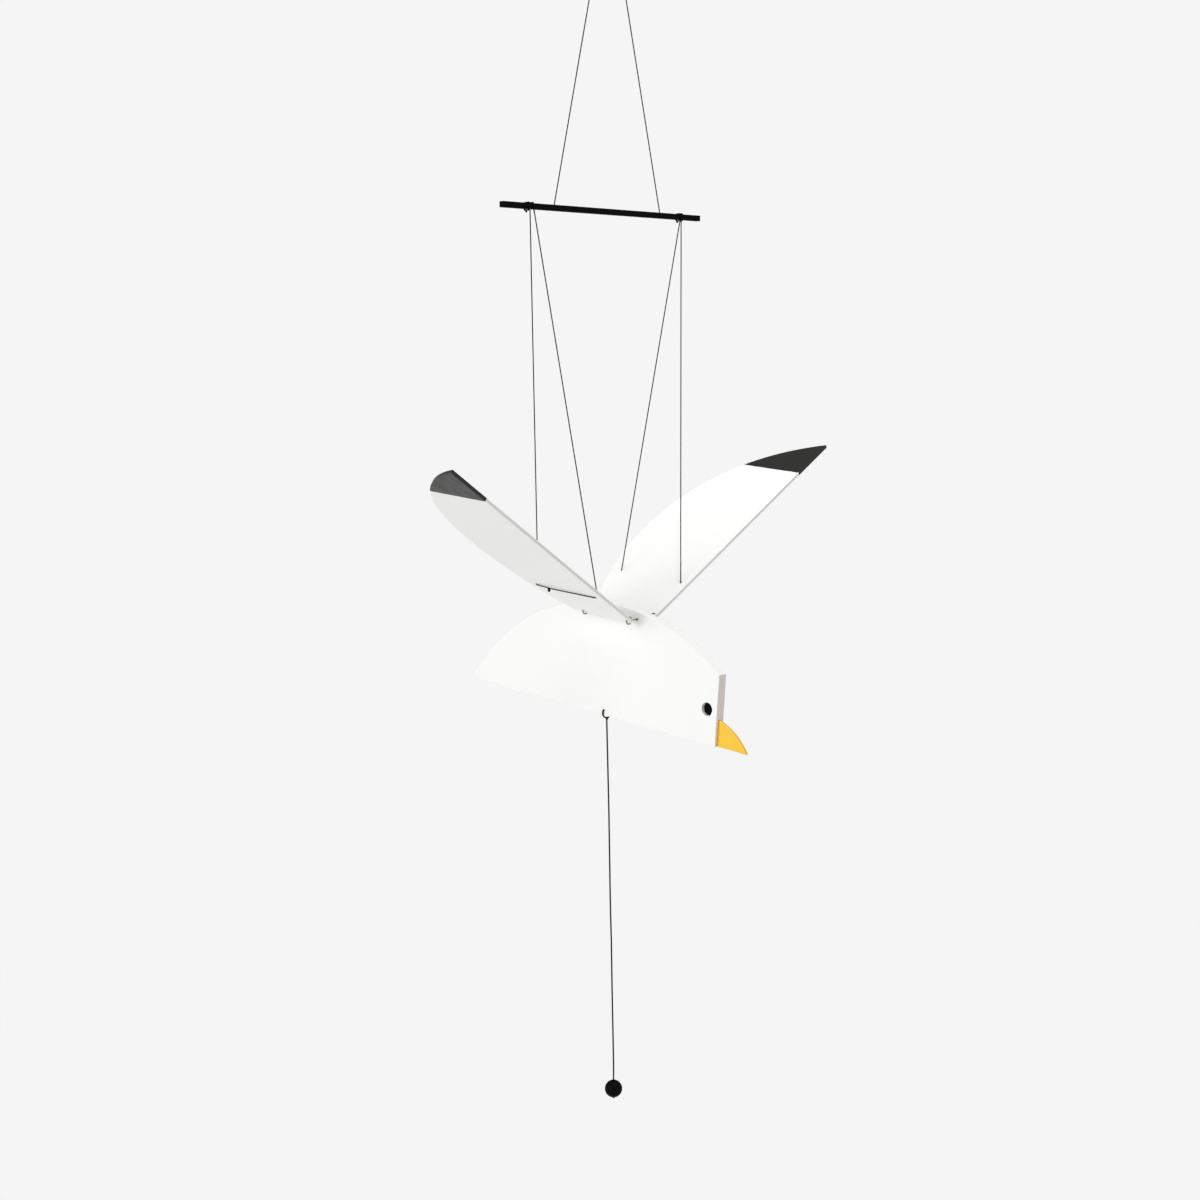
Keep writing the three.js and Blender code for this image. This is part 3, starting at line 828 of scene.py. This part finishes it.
for name, side in WING_SIDES.items():
    wing = outline_board(f"{name}_wing_board", [
        (ROOT_FRONT, None, None),
        (WING_TIP, None, TRAIL_OUT),
        (TRAIL_END, TRAIL_IN, thirds(TRAIL_END, ROOT_CORNER)),
        (ROOT_REAR, thirds(ROOT_REAR, ROOT_CORNER), None),
    ], WING_THICKNESS)
    for x in HINGE_XS.values():
        drill(wing, (x, RING_SPAN, 0), RING_HOLE, 8, sides=32)
    for x in WING_THREAD_XS.values():
        drill(wing, (x, WING_THREAD_SPAN, 0), WING_THREAD_HOLE, 8, sides=32)
    soften(wing, 0.4)
    settle(wing, wing_pose(side))
    material = white_wing_material(f"white_painted_{name}_wing", side)
    dress(wing, material, f"{name}_flapper", "white_wood", f"{name}_wing")


# ---------------------------------------------------------------- the hinges
# Each wing swings on two brass screw eyes, turned into the side of the body: a wire bent round into
# a ring that all but closes, and a shank with a coarse thread. The rings pass through holes in the
# wing.

RING_RADIUS = 3.2
WIRE_RADIUS = 0.6

brass, tree, shader = new_material("brass_wire")
tarnish = noise(tree, 420, 4)
brass_colour = two_colours(tree, spread(tree, tarnish, 0, 1), (0.44, 0.36, 0.19), (0.20, 0.16, 0.09))
tree.links.new(brass_colour, shader.inputs["Base Color"])
tree.links.new(spread(tree, tarnish, 0.22, 0.45), shader.inputs["Roughness"])
tree.links.new(bump(tree, noise(tree, 2600, 2), 0.3, 0.00005), shader.inputs["Normal"])
shader.inputs["Metallic"].default_value = 1.0


def wire(name, points, radius):
    """Round wire along a line of points, in millimetres, closed at both ends, as a mesh."""
    shape = bpy.data.curves.new(name, "CURVE")
    shape.dimensions = "3D"
    shape.bevel_depth = radius * MM
    shape.bevel_resolution = 4
    shape.use_fill_caps = True
    spline = shape.splines.new("POLY")
    spline.points.add(len(points) - 1)
    for point, place in zip(spline.points, points):
        point.co = (*(c * MM for c in place), 1)
    piece = bpy.data.objects.new(name, shape)
    bpy.context.scene.collection.objects.link(piece)
    alone(piece)
    bpy.ops.object.convert(target="MESH")
    bpy.ops.object.mode_set(mode="EDIT")
    bpy.ops.mesh.select_all(action="SELECT")
    bpy.ops.mesh.remove_doubles(threshold=0.00001)
    bpy.ops.mesh.normals_make_consistent(inside=False)
    bpy.ops.object.mode_set(mode="OBJECT")
    bpy.ops.object.shade_smooth_by_angle(angle=math.radians(50))
    return bpy.context.object


def screw_eye(name, x, side):
    """A screw eye at one side: its shank runs in along Y, and its ring, open a little, stands across X."""
    neck = HINGE_Y - RING_RADIUS
    bent = [Vector((x, y, 0)) for y in (0.9, 4.0, 8.0, neck - 1.0, neck - 0.45)]
    for step in range(41):
        angle = math.radians(193 + 325 * step / 40)
        bent.append(Vector((
            x, HINGE_Y + RING_RADIUS * math.cos(angle), -RING_RADIUS * math.sin(angle) * 0.98)))
    coil = []
    for step in range(97):
        angle = 2 * math.pi * step / 16
        reach = 0.62 if step < 90 else 0.5
        coil.append(Vector((
            x + reach * math.cos(angle), 1.0 + 0.9 * step / 16, reach * math.sin(angle))))
    eye = wire(name, bent, WIRE_RADIUS)
    crest = wire(name + "_crest", coil, 0.16)
    alone(eye)
    crest.select_set(True)
    bpy.ops.object.join()
    if side < 0:
        eye.rotation_euler = (0, 0, math.pi)
        eye.location = (2 * x * MM, 0, 0)
    return eye


for name, side in WING_SIDES.items():
    for station, x in HINGE_XS.items():
        hinge = screw_eye(f"{name}_{station}_screw_eye", x, side)
        settle(hinge)
        settle(hinge, BIRD)
        dress(hinge, brass, "bird", "brass_wire", f"{name}_{station}_hinge")


# ---------------------------------------------------------------- the wing cords
# Each wing hangs on one thread. Its middle lies under the wing, where the ends come up through two
# holes; both legs go up to the crossbar, wind round it and are knotted.

BAR_WRAP = BAR_SIDE / 2 + FINE_THREAD / 2
# Each hitch has two turns. This is where their middle lies along the bar, how far apart they are,
# where the rear and the front leg leave them, and how far beyond the first turn the knot lies.
HITCHES = {
    "right": {"y": -94.0, "spread": 4.7, "rear": 1.0, "front": 5.6, "tail": 1.2},
    "left": {"y": 91.3, "spread": 1.6, "rear": 0.9, "front": 2.4, "tail": 2.4},
}


def on_bar(x, y, z):
    """A point beside the crossbar, its height from the middle of the bar."""
    return (x * BAR_WRAP, y, BAR_Z + z * BAR_WRAP)


def on_wing(side, x, span, height):
    """A point over a wing, in millimetres; a negative height is below it."""
    return wing_pose(side) @ (Vector((x, span, height * side)) * MM) / MM


UNDER_WING = -WING_THICKNESS / 2 - 0.6
UNDER_KNOT_X = -19.0

for name, side in WING_SIDES.items():
    tie = HITCHES[name]
    first, second = tie["y"] - tie["spread"] / 2, tie["y"] + tie["spread"] / 2
    rear_y, front_y = tie["y"] + tie["rear"], tie["y"] + tie["front"]
    route = [
        on_bar(0.1, rear_y, -1.35), on_bar(0, rear_y, -1.05), on_bar(-1, first + 0.5, -1),
        on_bar(-1, first, 1), on_bar(1, first, 1), on_bar(1, first - 0.2, -1),
        on_bar(0, first - 1.1, -1.2), on_bar(-1.08, first - 0.4, -1), on_bar(-1.12, second - 0.3, 0.8),
        on_bar(-1, second, 1), on_bar(1, second, 1),
        on_bar(1, second + 0.1, -1), on_bar(0, front_y, -1.05), on_bar(-0.1, front_y, -1.35),
    ]
    thread(f"{name}_hitch_thread", rounded(route, 0.8), FINE_THREAD * MM, "hanger",
           f"{name}_wing_cord_hitch")
    tail = (0.2, first - tie["tail"], BAR_Z - BAR_SIDE / 2 - 1.5)
    knot(f"{name}_hitch_knot", tail, FINE_THREAD * MM, "hanger", 0.28)

    for station, x in WING_THREAD_XS.items():
        mouth = on_wing(side, x, WING_THREAD_SPAN, WING_THICKNESS / 2)
        top = Vector((0, tie["y"] + tie[station], BAR_Z - BAR_WRAP))
        slant = (mouth - top).normalized()
        thread(f"{name}_{station}_leg_thread", [top * MM, (mouth + slant * 0.9) * MM],
               FINE_THREAD * MM, f"{name}_cord_pair", f"{name}_wing_cord_{station}")

    run = [
        on_wing(side, WING_THREAD_XS["rear"], WING_THREAD_SPAN, 0.9),
        on_wing(side, WING_THREAD_XS["rear"], WING_THREAD_SPAN, UNDER_WING),
        on_wing(side, UNDER_KNOT_X, WING_THREAD_SPAN, UNDER_WING - 0.8),
        on_wing(side, WING_THREAD_XS["front"], WING_THREAD_SPAN, UNDER_WING),
        on_wing(side, WING_THREAD_XS["front"], WING_THREAD_SPAN, 0.9),
    ]
    thread(f"{name}_under_wing_thread", rounded(run, 1.2), FINE_THREAD * MM, f"{name}_flapper",
           f"{name}_wing_cord_underside")
    tucked = on_wing(side, UNDER_KNOT_X, WING_THREAD_SPAN, UNDER_WING - 2.3)
    knot(f"{name}_under_wing_knot", tucked, FINE_THREAD * MM, f"{name}_flapper")


# ---------------------------------------------------------------- the ball
# A turned wooden bead, painted black, bored through for the pull cord and flattened a little round
# the bore, which widens below to take the knot.

BALL_RADIUS = 8.0
BALL_FLAT = 7.86
KNOT_SEAT = 4.0
KNOT_SEAT_DEPTH = 1.6
bpy.ops.mesh.primitive_uv_sphere_add(segments=96, ring_count=64, radius=BALL_RADIUS * MM)
ball = bpy.context.object
ball.name = "pull_bead"
settle(ball)
cut_off(ball, (0, 0, BALL_FLAT), (0, 0, 1))
cut_off(ball, (0, 0, -BALL_FLAT), (0, 0, -1))
drill(ball, (0, 0, 0), PULL_HOLE, 30)
drill(ball, (0, 0, -BALL_RADIUS), KNOT_SEAT, 2 * KNOT_SEAT_DEPTH)
soften(ball, 0.35)
settle(ball, Matrix.Translation(BALL * MM))

black_bead, tree, shader = new_material("black_painted_bead")
turned_place = stretched(tree, (0, 0, 0), (1, 1, 14))
colour, roughness, relief = brushed(tree, turned_place, BLACK, (0.004, 0.004, 0.004))
tree.links.new(colour, shader.inputs["Base Color"])
shader.inputs["Specular IOR Level"].default_value = 0.05
tree.links.new(spread(tree, roughness, 0.4, 0.55, 0.34, 0.54), shader.inputs["Roughness"])
tree.links.new(bump(tree, relief, 0.25, 0.0002), shader.inputs["Normal"])
dress(ball, black_bead, "bird", "black_wood", "pull_ball")
